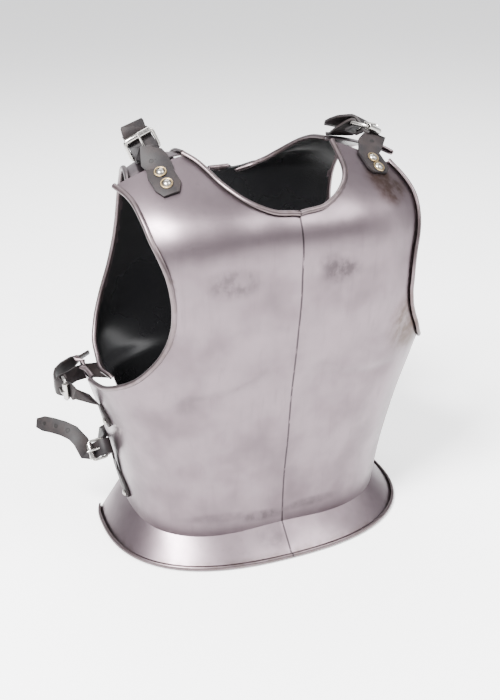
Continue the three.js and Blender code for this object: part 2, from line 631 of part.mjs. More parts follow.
for (const set of SETS) {
  const { size } = set;
  const roller = vec(set.roller);
  const toPivot = vec(set.toPivot).normalize();
  const face = vec(set.face).normalize();
  const place = axes(roller, toPivot, face);
  face.setFromMatrixColumn(place, 2);
  const pivot = moved(roller, [toPivot, size.length]);
  const put = (geometry) => geometry.applyMatrix4(place);
  add(`${set.name}_frame`, put(frameGeometry(size)), nickel("buckle_nickel"));
  add(`${set.name}_roller`, put(rollerGeometry(size)), nickel("buckle_nickel"));
  add(`${set.name}_prong`, put(prongGeometry(size.length, PRONG, 3)), nickel("buckle_nickel"));

  const lift = 0.7 + LEATHER / 2;
  const stations = set.onPlate.map(([turn, z]) => {
    const n = chestNormal(turn, z);
    return { p: moved(chestPoint(turn, z), [n, lift]), n };
  });
  const across = new THREE.Vector3().setFromMatrixColumn(place, 0);
  const inBuckle = ([x, y, z]) => moved(pivot, [across, x], [toPivot, y], [face, z]);
  for (const at of set.lead) {
    const [, y, z] = at;
    const n = moved(new THREE.Vector3(), [toPivot, Math.abs(y)], [face, Math.max(z, 0)]).normalize();
    stations.push({ p: inBuckle(at), n: set.over ? n : face.clone() });
  }
  // Through the buckle the billet is straight between two bends, one under the roller and one over the
  // fixed bar.
  const lean = Math.asin((UNDER + OVER) / size.length);
  const bend = [Math.sin(lean), Math.cos(lean)];
  const through = [
    [-size.length - 4, -UNDER],
    [-size.length, -UNDER],
    [-size.length + UNDER * bend[0], -UNDER * bend[1]],
    [-OVER * bend[0], OVER * bend[1]],
    [0, OVER],
  ];
  if (!set.over) through.push([4.5, OVER]);
  if (set.over) through.reverse();
  for (const [y, z] of through) stations.push({ p: inBuckle([0, y, z]), n: face.clone() });
  const away = vec(set.away).normalize();
  set.tail.forEach((p, i) => {
    stations.push({ p: vec(p), n: face.clone().lerp(away, i / set.tail.length).normalize() });
  });
  const passage = put(prongGeometry(size.length, PRONG + 0.45, 3));
  const billet = ribbon(stations, size.strap, [true, true]);
  add(`${set.name}_billet`, cut(billet, [passage]), leather("strap_leather"));

  const fold = vec(set.fold);
  fold.addScaledVector(across, -fold.dot(across)).normalize();
  const upper = fold.clone().cross(across).normalize();
  if (upper.dot(set.over ? toPivot.clone().negate() : face) < 0) upper.negate();
  const turnRound = [{ p: moved(pivot, [upper, LOOP], [fold, 6]), n: upper.clone() }];
  for (const degrees of [0, 45, 90, 135, 180]) {
    const a = THREE.MathUtils.degToRad(degrees);
    const n = moved(new THREE.Vector3(), [upper, Math.cos(a)], [fold, -Math.sin(a)]);
    turnRound.push({ p: moved(pivot, [n, LOOP]), n });
  }
  const lower = upper.clone().negate();
  turnRound.push({ p: moved(pivot, [lower, LOOP], [fold, 9]), n: lower });
  const seats = set.anchor.map((p) => seatOnBack(vec(p)));
  const hold = seats.map(({ p, n }) => ({ p: moved(p, [n, 1.5 + LEATHER / 2]), n })).reverse();
  const middle = set.chape.map((p) => ({ p: vec(p), n: away.clone() })).reverse();
  const chape = ribbon([...hold, ...middle, ...turnRound], size.strap, [true, false]);
  const slot = put(new THREE.BoxGeometry(5, 12, 12).translate(0, size.length, 0));
  add(`${set.name}_chape`, cut(chape, [slot]), leather("strap_leather"));

  set.rivets.forEach((at, i) => addRivet(`${set.name}_billet_rivet_${i + 1}`, billet, at));
  addRivet(`${set.name}_chape_rivet`, chape, 0.25);
}

// The origin is the middle of the bottom of the whole cuirass.
const box = new THREE.Box3().setFromObject(cuirass);
const middle = box.getCenter(new THREE.Vector3());
for (const mesh of cuirass.children) mesh.geometry.translate(-middle.x, -middle.y, -box.min.z);

export default cuirass;
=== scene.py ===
"""A steel cuirass dressed for a render: brushed plates with curled edges, leather straps and buckles.

Lengths in the tables are millimetres in the cuirass's own frame: the chest faces -Y, the wearer's
left is +X and the ridge is at x = 0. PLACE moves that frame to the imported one.
"""

import math

import bmesh
import bpy
from mathutils import Matrix, Vector, kdtree, noise


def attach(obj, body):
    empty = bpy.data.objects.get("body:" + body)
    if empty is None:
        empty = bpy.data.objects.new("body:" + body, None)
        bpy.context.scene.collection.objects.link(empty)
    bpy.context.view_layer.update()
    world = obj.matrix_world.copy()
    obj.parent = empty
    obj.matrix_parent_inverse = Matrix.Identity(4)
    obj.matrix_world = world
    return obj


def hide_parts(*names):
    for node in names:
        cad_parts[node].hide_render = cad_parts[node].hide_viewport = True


bl_info = {
    "name": "Steel cuirass",
    "version": (1, 0, 0),
    "blender": (4, 5, 0),
    "location": "View3D > Sidebar > Cuirass",
    "description": "Builds the looks of a worn steel cuirass on its packed frame",
    "category": "Add Mesh",
}

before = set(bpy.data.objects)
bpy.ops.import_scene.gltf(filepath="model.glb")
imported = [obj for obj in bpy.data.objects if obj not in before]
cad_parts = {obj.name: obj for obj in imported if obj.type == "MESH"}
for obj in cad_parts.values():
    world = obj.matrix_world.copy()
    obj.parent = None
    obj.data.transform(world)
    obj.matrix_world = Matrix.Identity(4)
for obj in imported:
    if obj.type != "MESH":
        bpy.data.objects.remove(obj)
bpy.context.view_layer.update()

MM = 0.001
PLACE = Vector((17.557, 39.98, 1.41))
ROLL = 2.7  # radius of a rolled edge
RIDGE = 2.5  # how far the central ridge stands out
RIDGE_SPAN = 38.0  # half width of the ridge
FLANGE = {"half": 170.0, "front": 138.0, "back": 100.0, "square": 2.5, "turn": 1.015}
NECK_ROW = 16
TIP_ROW = 5
SHOULDER_CROWN = 3.0
BACK_NECK_ROW = 12
BACK_CORNER_ROW = 4
BACK_SHIFT = 6.0


def table(columns, *rows):
    """Rows of numbers as dicts with the named columns."""
    names = columns.split()
    return [dict(zip(names, row)) for row in rows]


CHEST = table(
    "z half front back square",
    (20, 144, 112, 85, 2.9),
    (80, 153, 117, 88, 3.0),
    (140, 164, 129, 92, 3.1),
    (200, 181, 139, 96, 3.2),
    (260, 198, 153, 98, 3.1),
    (320, 198, 163, 98, 2.9),
    (380, 182, 157, 92, 2.6),
    (434, 148, 86, 70, 2.4),
)

CREASE = table(
    "turn z",
    (0, 28),
    (22, 24),
    (42, 23),
    (60, 26),
    (80, 33),
    (101, 37),
)

CHEST_ROWS = table(
    "inZ inRight inLeft outZ outRight outLeft",
    (45, 0, 0, 60, 101, 101),
    (64, 0, 0, 92, 99.5, 99.5),
    (83, 0, 0, 125, 97.5, 97.5),
    (102, 0, 0, 158, 95, 95),
    (122, 0, 0, 188, 92, 92),
    (142, 0, 0, 211, 88.5, 88.5),
    (163, 0, 0, 207, 83, 83),
    (184, 0, 0, 202.5, 75.5, 74),
    (206, 0, 0, 204.5, 67.5, 67),
    (228, 0, 0, 213, 59.5, 59.5),
    (250, 0, 0, 225, 52.5, 53.5),
    (271, 0, 0, 241.5, 47, 49),
    (292, 0, 0, 258, 42.9, 45.2),
    (313, 0, 0, 275, 40.2, 42.3),
    (335, 0, 0, 292, 38.8, 40.8),
    (358, 0, 0, 309, 38.4, 40.6),
    (381, 0, 0, 326, 38.9, 41.3),
    (383, 7.5, 9, 342, 40, 42.6),
    (388, 13.5, 15, 357, 42, 44),
    (394.5, 19, 20.5, 369, 44.4, 45.5),
    (401.5, 24, 25.5, 379.5, 46.8, 47),
    (408.5, 29, 29.5, 388.5, 49.8, 48),
    (416.5, 34.5, 33, 396.5, 53.5, 48.8),
    (423.5, 40.5, 36, 402.5, 58, 49.3),
    (429, 47, 38.5, 407, 63.5, 50),
)

BACK_ROWS = table(
    "x y z toX toY toZ lead tuck drop crown",
    (0, 64, 2, 131, -2, 2, 0.55, 0, 0.72, 0),
    (0, 66, 45, 133, -6, 50, 0.55, 0, 0.72, 0),
    (0, 71, 92, 141, -9, 105, 0.55, 0, 0.72, 0),
    (0, 77, 140, 149, -11, 152, 0.55, 0, 0.72, 0),
    (0, 80, 168, 156, -12, 184, 0.55, 0, 0.72, 0),
    (0, 82, 188, 162, 12, 189, 0.55, 0, 0.7, 0),
    (0, 83, 208, 162, 34, 203, 0.5, 0.02, 0.75, 0),
    (0, 84, 230, 156, 51, 225, 0.45, 0.08, 0.8, 0),
    (0, 85, 258, 144, 60, 256, 0.4, 0.2, 0.8, 0),
    (0, 85, 288, 131, 62, 290, 0.4, 0.25, 0.8, 0),
    (0, 83, 318, 124, 58, 320, 0.4, 0.25, 0.8, 0),
    (0, 80, 348, 121, 52, 345, 0.4, 0.28, 0.7, 0),
    (0, 77, 372, 120, 44, 366, 0.38, 0.3, 0.6, 2),
    (16, 76.5, 372.5, 120, 35, 380, 0.35, 0.3, 0.55, 4),
    (33, 75, 375, 121, 24, 391, 0.34, 0.3, 0.5, 6),
    (48, 67, 380, 123, 12, 399, 0.33, 0.33, 0.5, 7),
    (60, 54, 389, 125, -1, 404, 0.33, 0.33, 0.45, 8),
    (69, 36, 400, 127, -15, 407, 0.33, 0.33, 0.4, 8),
    (75, 15, 410, 130, -31, 408.5, 0.33, 0.33, 0.35, 7),
    (78, -10, 417, 133, -47, 408, 0.33, 0.33, 0.33, 6),
    (79, -36, 420, 136, -62, 405.5, 0.33, 0.33, 0.33, 5),
)

ROW_STEPS = 4  # rows of the mesh for each row of a table
CURL_STEPS = 9
CURL_END = 20  # where a curl stops, in degrees round its middle

DENTS = table(
    "x z wide tall depth",
    (-62, 316, 26, 15, 1.1),
    (38, 320, 20, 13, 1.3),
    (60, 262, 26, 18, -0.6),
    (132, 246, 15, 26, 2.0),
    (-95, 92, 9, 26, 0.9),
    (-60, 110, 16, 30, 0.7),
    (100, 120, 14, 34, 0.9),
    (24, 98, 14, 12, 0.5),
    (-118, 262, 14, 22, 0.6),
)
PEC_DROP = 3.0  # how far the plate steps in below the chest

# Marks on the breastplate, with painted shade in the two chest dents. wide, deep and tall are reaches along
# X, Y and Z.
MARKS_AND_SHADE = table(
    "x y z wide deep tall brown amount",
    # These three rows are painted shade in the chest dents, darker where the plate dips.
    (-64.8, -158.6, 326, 34, 40, 20, False, 0.6),
    (41.5, -160.3, 325.6, 28, 40, 17, False, 0.7),
    (28.2, -161.7, 337, 16, 40, 12, False, 0.4),
    (108.8, -128.8, 388.7, 27, 40, 20, True, 0.85),
    (98.8, -118.6, 400, 22, 40, 14, True, 0.8),
    # These two rows are a dark brown patch by the right armhole.
    (136, -128, 250, 40, 60, 50, True, 1.0),
    (147.2, -116.9, 226, 20, 40, 20, True, 0.8),
    (-22.8, -111.2, 40.6, 34, 40, 9, False, 0.55),
    (34, -110, 44, 44, 40, 8, False, 0.45),
    (-12.9, -123.2, 15.9, 26, 40, 12, False, 0.35),
    (-70, -108, 46, 50, 50, 8, False, 0.3),
    (-103, -118, 196, 20, 40, 16, False, 0.22),
    (-136, -60, 168, 14, 40, 22, True, 0.5),
)

# Punched holes in the straps.
HOLES = table(
    "x y z radius",
    (-118.6, -74.8, 438, 3.0),
    (-113.3, -77.5, 426, 3.0),
    (-201.7, 1, 125.9, 3.6),
    (-212.1, 13, 127.6, 3.6),
    (-222, 24, 127.3, 3.6),
    (108.6, -86, 425.6, 3.0),
)

LENS = 50.53
CAMERA_AT = (-0.33453, -0.8993, 0.63589)
CAMERA_AIM = (0.01302, 0.00324, 0.20244)
CAMERA_ROLL = -1.03
LAMPS = [
    ("key", (-1.3, -0.9, 2.0), (0, 0, 0.3), (0.8, 0.8), 300),
    ("fill", (2.0, -1.0, 0.9), (0, 0, 0.25), (1.0, 1.6), 12),
    ("front", (1.0, -1.2, 1.9), (0, 0, 0.3), (1.2, 1.2), 70),
    ("top", (0.3, 1.2, 2.2), (0, 0, 0.2), (1.6, 1.6), 55),
]


def read(rows, key, at):
    """A column of a table at a fractional row, by monotone cubic steps."""
    j = max(0, min(len(rows) - 2, int(math.floor(at))))
    s = max(0.0, min(1.0, at - j))
    value = [row[key] for row in rows]

    def slope(k):
        if k == 0:
            return value[1] - value[0]
        if k == len(value) - 1:
            return value[-1] - value[-2]
        before = value[k] - value[k - 1]
        after = value[k + 1] - value[k]
        if before * after <= 0:
            return 0.0
        return 2 * before * after / (before + after)

    a, b = value[j], value[j + 1]
    p, q = slope(j), slope(j + 1)
    return (
        a * (1 + 2 * s) * (1 - s) ** 2
        + p * s * (1 - s) ** 2
        + b * s * s * (3 - 2 * s)
        - q * s * s * (1 - s)
    )


def read_by(rows, along, key, at):
    """A column of a table where another column has the value `at`, by cubic Hermite steps."""
    last = len(rows) - 1
    j = 0
    while j < last - 1 and at > rows[j + 1][along]:
        j += 1

    def slope(k):
        a = rows[max(0, k - 1)]
        b = rows[min(last, k + 1)]
        return (b[key] - a[key]) / (b[along] - a[along])

    span = rows[j + 1][along] - rows[j][along]
    s = (at - rows[j][along]) / span
    a, b = rows[j][key], rows[j + 1][key]
    return (
        a * (1 + 2 * s) * (1 - s) ** 2
        + slope(j) * span * s * (1 - s) ** 2
        + b * s * s * (3 - 2 * s)
        - slope(j + 1) * span * s * s * (1 - s)
    )


def on_oval(half, front, back, square, turn, z):
    s = math.sin(math.radians(turn))
    c = math.cos(math.radians(turn))
    depth = front if c > 0 else back
    r = (abs(s / half) ** square + abs(c / depth) ** square) ** (-1 / square)
    return Vector((r * s, -r * c, z))


def chest_point(turn, z):
    half, front, back, square = (read_by(CHEST, "z", key, z) for key in ("half", "front", "back", "square"))
    p = on_oval(half, front - RIDGE, back, square, turn, z)
    if abs(turn) < 90:
        p.y -= RIDGE * max(0.0, 1 - abs(p.x) / RIDGE_SPAN) ** 2
    return p


def chest_surface(side):
    """The outer side of one half of the breastplate over (across 0..1, row)."""
    in_turn, out_turn = ("inLeft", "outLeft") if side > 0 else ("inRight", "outRight")
    last = len(CHEST_ROWS) - 1

    def surface(u, v):
        if v < 2:
            turn = CHEST_ROWS[0]["outRight"] * u
            foot_turn = side * turn * FLANGE["turn"]
            foot = on_oval(FLANGE["half"], FLANGE["front"], FLANGE["back"], FLANGE["square"], foot_turn, ROLL)
            crease = chest_point(side * turn, read_by(CREASE, "turn", "z", turn))
            return foot.lerp(crease, v / 2)
        if v < 3:
            turn = CHEST_ROWS[0]["outRight"] * u
            low = read_by(CREASE, "turn", "z", turn)
            row = CHEST_ROWS[0]
            high = row["inZ"] + (row["outZ"] - row["inZ"]) * u
            return chest_point(side * turn, low + (high - low) * (v - 2))
        at = v - 3
        start = read(CHEST_ROWS, in_turn, at)
        turn = start + (read(CHEST_ROWS, out_turn, at) - start) * u
        low = read(CHEST_ROWS, "inZ", at)
        crown = SHOULDER_CROWN * max(0.0, (at - NECK_ROW) / (last - NECK_ROW)) ** 2
        z = low + (read(CHEST_ROWS, "outZ", at) - low) * u + crown * 4 * u * (1 - u)
        p = chest_point(side * turn, z)
        return p + chest_relief(p)

    return surface


def smooth(value, low, high):
    s = max(0.0, min(1.0, (value - low) / (high - low)))
    return s * s * (3 - 2 * s)


def chest_relief(p):
    """Shallow dents and the step under the chest, as a move along +Y."""
    depth = 0.0
    for dent in DENTS:
        away = math.hypot((p.x - dent["x"]) / dent["wide"], (p.z - dent["z"]) / dent["tall"])
        depth += dent["depth"] * math.exp(-away * away)
    wide = abs(p.x)
    line = 203 + 30 * math.exp(-((wide / 45) ** 2))
    fade = smooth(wide, 6, 26) * (1 - smooth(wide, 100, 132))
    below = smooth(line - p.z, -7, 7) * math.exp(-max(0.0, line - p.z) / 42)
    depth += PEC_DROP * fade * below
    wave = noise.noise(Vector((p.x * 0.04, p.z * 0.016, 3.1)))
    depth += 0.9 * wave
    return Vector((0, depth * smooth(p.z, 46, 85), 0))


def back_surface(side):
    """The outer side of one half of the backplate over (across 0..1, row)."""

    def surface(u, v):
        row = {key: read(BACK_ROWS, key, v) for key in BACK_ROWS[0]}
        wide = row["toX"] - row["x"]
        deep = row["y"] - row["toY"]
        rise = (row["toZ"] - row["z"]) / 3
        a = Vector((row["x"], row["y"], row["z"]))
        b = Vector((row["x"] + row["lead"] * wide, row["y"], row["z"] + rise + row["crown"]))
        d = Vector((row["toX"], row["toY"], row["toZ"]))
        c = Vector((row["toX"] - row["tuck"] * wide, row["toY"] + row["drop"] * deep, row["toZ"] - rise))
        c.z += row["crown"]
        w = 1 - u
        p = a * w**3 + b * 3 * w * w * u + c * 3 * w * u * u + d * u**3
        return Vector((p.x * side + BACK_SHIFT, p.y, p.z))

    return surface


def mapped_grid(bm, across, along, place):
    """A grid of across by along cells with each corner put where place(i, j) says."""
    made = bmesh.ops.create_grid(bm, x_segments=across, y_segments=along, size=0.5)
    for vert in made["verts"]:
        i = round((vert.co.x + 0.5) * across)
        j = round((vert.co.y + 0.5) * along)
        vert.co = place(i, j)


def curl(bm, chain, thick):
    """A rolled edge along a chain of (point, normal) with the plate on its inner side."""
    count = len(chain)
    reach = ROLL * 0.9
    hollow = ROLL - thick
    path = [(0.0, 0.0), (reach * 0.5, 0.0)]
    for step in range(CURL_STEPS + 1):
        a = math.radians(270 - (270 - CURL_END) * step / CURL_STEPS)
        path.append((reach - hollow * math.cos(a), hollow + hollow * math.sin(a)))

    outs = []
    lean = 0.0
    for i, (_, n, inward) in enumerate(chain):
        tangent = (chain[min(count - 1, i + 1)][0] - chain[max(0, i - 1)][0]).normalized()
        outs.append(tangent.cross(n).normalized())
        lean += outs[-1].dot(inward)

    def place(i, j):
        p, n, _ = chain[i]
        out = outs[i] * (-1 if lean > 0 else 1)
        lift = (n - out * n.dot(out)).normalized()
        return p + out * path[j][0] + lift * path[j][1]

    mapped_grid(bm, count - 1, len(path) - 1, place)


def finish_sheet(bm, name, thick, outward, slot, node):
    """Weld, thicken and smooth a sheet, and mark its painted inner side."""
    bmesh.ops.remove_doubles(bm, verts=bm.verts[:], dist=0.02)
    bmesh.ops.recalc_face_normals(bm, faces=bm.faces[:])
    bm.normal_update()
    votes = sum(face.normal.dot(outward(face.calc_center_median())) for face in bm.faces)
    if votes < 0:
        bmesh.ops.reverse_faces(bm, faces=bm.faces[:])
        bm.normal_update()
    normals = {tuple(vert.co): vert.normal.copy() for vert in bm.verts}
    painted = bm.verts.layers.float.new("inside")
    curled = bm.verts.layers.float.get("curled")
    made = bmesh.ops.extrude_face_region(bm, geom=bm.faces[:])
    for vert in made["geom"]:
        if isinstance(vert, bmesh.types.BMVert):
            vert.co -= normals[tuple(vert.co)] * thick
            vert[painted] = 1.0 - vert[curled]
    bmesh.ops.recalc_face_normals(bm, faces=bm.faces[:])
    return add_piece(bm, name, slot, node)


def add_piece(bm, name, slot, *nodes):
    """Turn a mesh in millimetres into a finished piece that stands in for its nodes."""
    bmesh.ops.translate(bm, verts=bm.verts[:], vec=PLACE)
    bmesh.ops.scale(bm, verts=bm.verts[:], vec=(MM, MM, MM))
    return add_metres(bm, name, slot, *nodes)


def add_metres(bm, name, slot, *nodes):
    mesh = bpy.data.meshes.new(name)
    bm.to_mesh(mesh)
    bm.free()
    mesh.shade_smooth()
    mesh.set_sharp_from_angle(angle=math.radians(38))
    piece = bpy.data.objects.new(name, mesh)
    bpy.context.scene.collection.objects.link(piece)
    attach(piece, "root")
    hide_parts(*nodes)
    return piece


def build_plate(name, slot, surfaces, samples, columns, rolled, thick, outward):
    """A plate from two half surfaces. rolled lists (kind, first row) for its curled edges."""
    bm = bmesh.new()
    curled = bm.verts.layers.float.new("curled")
    for surface in surfaces:
        mapped_grid(bm, columns, len(samples) - 1, lambda i, j: surface(i / columns, samples[j]))

    bmesh.ops.remove_doubles(bm, verts=bm.verts[:], dist=0.02)
    bmesh.ops.recalc_face_normals(bm, faces=bm.faces[:])
    bm.normal_update()
    votes = sum(face.normal.dot(outward(face.calc_center_median())) for face in bm.faces)
    tree = kdtree.KDTree(len(bm.verts))
    normals = []
    for k, vert in enumerate(bm.verts):
        tree.insert(vert.co, k)
        normals.append(vert.normal * math.copysign(1, votes))
    tree.balance()

    def link(surface, u, v):
        p = surface(u, v)
        inner = surface(u, 0.3) if v == 0 else surface(u + (0.05 if u < 0.5 else -0.05), v - 0.5)
        return p, normals[tree.find(inner)[1]], inner - p

    flat = set(bm.verts)
    for kind, low in rolled:
        if kind == "foot":
            chain = [link(surfaces[0], i / columns, 0) for i in range(columns, 0, -1)]
            chain += [link(surfaces[1], i / columns, 0) for i in range(columns + 1)]
            curl(bm, chain, thick)
        elif kind == "neck":
            rows = [v for v in samples if v >= low]
            left = [link(surfaces[0], 0, v) for v in reversed(rows)]
            right = [link(surfaces[1], 0, v) for v in rows]
            p, n, inside = left[-1]
            below = surfaces[0](0, low - 1) - p
            curl(bm, left[:-1] + [(p, n, below)] + right[1:], thick)
        else:
            rows = [v for v in samples if v >= low]
            for surface in surfaces:
                curl(bm, [link(surface, 1, v) for v in rows], thick)
    for vert in bm.verts:
        if vert not in flat:
            vert[curled] = 1.0
    return finish_sheet(bm, name, thick, outward, slot, name.replace("_plate", "plate"))


def dress(name, node, slot, bevel, steps, sharp=28):
    """A piece with a node's shape, its corners rounded."""
    bm = bmesh.new()
    bm.from_mesh(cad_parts[node].data)
    bmesh.ops.remove_doubles(bm, verts=bm.verts[:], dist=1e-6)
    bmesh.ops.dissolve_limit(
        bm, angle_limit=math.radians(1), verts=bm.verts[:], edges=bm.edges[:], use_dissolve_boundaries=False
    )
    corner = math.radians(sharp)
    edges = [edge for edge in bm.edges if len(edge.link_faces) == 2 and edge.calc_face_angle() > corner]
    bmesh.ops.bevel(
        bm, geom=edges, offset=bevel * MM, segments=steps, profile=0.5, affect="EDGES", clamp_overlap=True
    )
    bmesh.ops.recalc_face_normals(bm, faces=bm.faces[:])
    return add_metres(bm, name, slot, node)


class Nodes:
    """A material's node tree with short calls."""

    def __init__(self, name):
        self.material = bpy.data.materials.new(name)
        self.material.use_nodes = True
        self.tree = self.material.node_tree
        self.bsdf = self.tree.nodes["Principled BSDF"]
        self.place = self.add("ShaderNodeTexCoord").outputs["Object"]

    def add(self, kind, **inputs):
        node = self.tree.nodes.new(kind)
        for key, value in inputs.items():
            self.put(node.inputs[key.replace("_", " ")], value)
        return node

    def put(self, socket, value):
        if isinstance(value, bpy.types.NodeSocket):
            self.tree.links.new(value, socket)
        else:
            socket.default_value = value

    def math(self, kind, a, b=0.0, clamp=False):
        node = self.tree.nodes.new("ShaderNodeMath")
        node.operation = kind
        node.use_clamp = clamp
        self.put(node.inputs[0], a)
        self.put(node.inputs[1], b)
        return node.outputs[0]

    def noise(self, stretch, detail=4.0, rough=0.55):
        """Noise over the object with sizes in millimetres along each axis."""
        node = self.tree.nodes.new("ShaderNodeMapping")
        node.vector_type = "POINT"
        self.put(node.inputs["Vector"], self.place)
        node.inputs["Scale"].default_value = [1000 / size for size in stretch]
        out = self.add("ShaderNodeTexNoise", Vector=node.outputs[0], Scale=1.0, Detail=detail)
        out.inputs["Roughness"].default_value = rough
        return out.outputs["Fac"]

    def ramp(self, value, low, high):
        """0 below low, 1 above high."""
        node = self.tree.nodes.new("ShaderNodeMapRange")
        node.interpolation_type = "SMOOTHSTEP"
        self.put(node.inputs["Value"], value)
        node.inputs["From Min"].default_value = low
        node.inputs["From Max"].default_value = high
        return node.outputs["Result"]

    def near(self, centre, radii):
        """1 at a place in the cuirass's own frame, fading to 0 at the radii, both in millimetres."""
        node = self.tree.nodes.new("ShaderNodeMapping")
        self.put(node.inputs["Vector"], self.place)
        middle = (Vector(centre) + PLACE) * MM
        node.inputs["Location"].default_value = [-m / (r * MM) for m, r in zip(middle, radii)]
        node.inputs["Scale"].default_value = [1000 / r for r in radii]
        length = self.tree.nodes.new("ShaderNodeVectorMath")
        length.operation = "LENGTH"
        self.put(length.inputs[0], node.outputs[0])
        return self.math("SUBTRACT", 1.0, self.ramp(length.outputs["Value"], 0.35, 1.0))

    def mix(self, factor, a, b):
        node = self.tree.nodes.new("ShaderNodeMix")
        node.data_type = "RGBA"
        self.put(node.inputs[0], factor)
        self.put(node.inputs[6], a)
        self.put(node.inputs[7], b)
        return node.outputs[2]

    def blend(self, factor, a, b):
        node = self.tree.nodes.new("ShaderNodeMix")
        self.put(node.inputs[0], factor)
        self.put(node.inputs[2], a)
        self.put(node.inputs[3], b)
        return node.outputs[0]

    def bump(self, height, distance, strength=1.0):
        node = self.add("ShaderNodeBump", Height=height, Distance=distance * MM, Strength=strength)
        self.put(self.bsdf.inputs["Normal"], node.outputs["Normal"])

    def set(self, **inputs):
        for key, value in inputs.items():
            self.put(self.bsdf.inputs[key.replace("_", " ")], value)
        return self.material


def rgba(colour):
    return (colour[0], colour[1], colour[2], 1.0)


def steel_material(name, settings, marks_and_shade, groove):
    n = Nodes(name)
    brush = n.noise((0.9, 0.9, 60), 5.0, 0.6)
    streak = n.noise((7, 7, 120), 3.0)
    cloud = n.noise((60, 60, 70), 3.0)
    fine = n.noise((9, 9, 12), 5.0)
    colour = n.mix(n.ramp(cloud, 0.3, 0.75), rgba(settings.steel), rgba(settings.steel_dark))
    colour = n.mix(n.math("MULTIPLY", n.ramp(streak, 0.52, 0.8), 0.35), colour, rgba(settings.steel_dark))
    # Each row darkens the steel: stains and marks, and painted shade in the chest dents.
    for spot in marks_and_shade:
        patch = n.near((spot["x"], spot["y"], spot["z"]), (spot["wide"], spot["deep"], spot["tall"]))
        ragged = n.math("MULTIPLY", patch, n.blend(n.ramp(fine, 0.35, 0.65), 0.45, 1.0))
        tint = rgba(settings.brown_mark) if spot["brown"] else rgba(settings.smudge_and_shade)
        colour = n.mix(n.math("MULTIPLY", ragged, spot["amount"]), colour, tint)
    # Painted shade inside the rolled edges: the curled faces go darker, in patches.
    painted_rim_shade = n.tree.nodes.new("ShaderNodeAttribute")
    painted_rim_shade.attribute_name = "curled"
    rim_shade_spread = n.blend(n.ramp(n.noise((5, 5, 9), 4.0), 0.3, 0.7), 0.35, 0.8)
    colour = n.mix(n.math("MULTIPLY", painted_rim_shade.outputs["Fac"], rim_shade_spread), colour, rgba(settings.painted_rim_shade))
    rough = n.math("ADD", n.math("MULTIPLY", brush, 0.18), settings.steel_roughness)
    rough = n.math("ADD", rough, n.math("MULTIPLY", n.ramp(cloud, 0.4, 0.8), 0.08))
    height = n.math("MULTIPLY", brush, 0.02)
    if groove:
        apart = n.tree.nodes.new("ShaderNodeSeparateXYZ")
        n.put(apart.inputs[0], n.place)
        x = n.math("ABSOLUTE", n.math("SUBTRACT", apart.outputs["X"], PLACE.x * MM))
        line = n.math("SUBTRACT", 1.0, n.ramp(x, 0.0005, 0.0013))
        line = n.math("MULTIPLY", line, n.ramp(n.noise((3, 3, 14), 3.0), 0.25, 0.45))
        colour = n.mix(n.math("MULTIPLY", line, 0.9), colour, rgba(settings.smudge_and_shade))
        height = n.math("SUBTRACT", height, n.math("MULTIPLY", line, 0.5))
    inside = n.tree.nodes.new("ShaderNodeAttribute")
    inside.attribute_name = "inside"
    paint = n.ramp(inside.outputs["Fac"], 0.4, 0.6)
    n.bump(height, 0.3, 0.6)
    return n.set(
        Base_Color=n.mix(paint, colour, rgba(settings.paint)),
        Metallic=n.math("SUBTRACT", 1.0, paint),
        Roughness=n.blend(paint, rough, n.math("ADD", n.math("MULTIPLY", cloud, 0.15), 0.2)),
    )


def leather_material(name, settings, holes):
    n = Nodes(name)
    grain = n.add("ShaderNodeTexVoronoi", Vector=n.place, Scale=1100.0)
    grain = grain.outputs["Distance"]
    cloud = n.noise((14, 14, 14), 4.0)
    colour = n.mix(n.ramp(cloud, 0.35, 0.75), rgba(settings.leather), rgba(settings.leather_worn))
    height = n.math("ADD", n.math("MULTIPLY", grain, 0.5), n.math("MULTIPLY", cloud, 0.6))
    for hole in holes:
        size = hole["radius"]
        mark = n.ramp(n.near((hole["x"], hole["y"], hole["z"]), (size, size, size)), 0.25, 0.6)
        colour = n.mix(mark, colour, rgba(settings.hole))
        height = n.math("SUBTRACT", height, n.math("MULTIPLY", mark, 2.0))
    n.bump(height, 0.25, 0.5)
    return n.set(Base_Color=colour, Roughness=n.blend(cloud, 0.45, 0.65), Specular_IOR_Level=0.18)


def bright_material(name, colour, roughness):
    n = Nodes(name)
    wear = n.noise((4, 4, 4), 5.0)
    n.bump(wear, 0.08, 0.4)
    rough = n.math("ADD", n.math("MULTIPLY", n.ramp(wear, 0.4, 0.75), 0.14), roughness)
    return n.set(Base_Color=rgba(colour), Metallic=1.0, Roughness=rough)


def colour_property(name, value, description):
    return bpy.props.FloatVectorProperty(
        name=name, description=description, subtype="COLOR", size=3, min=0, max=1, default=value
    )


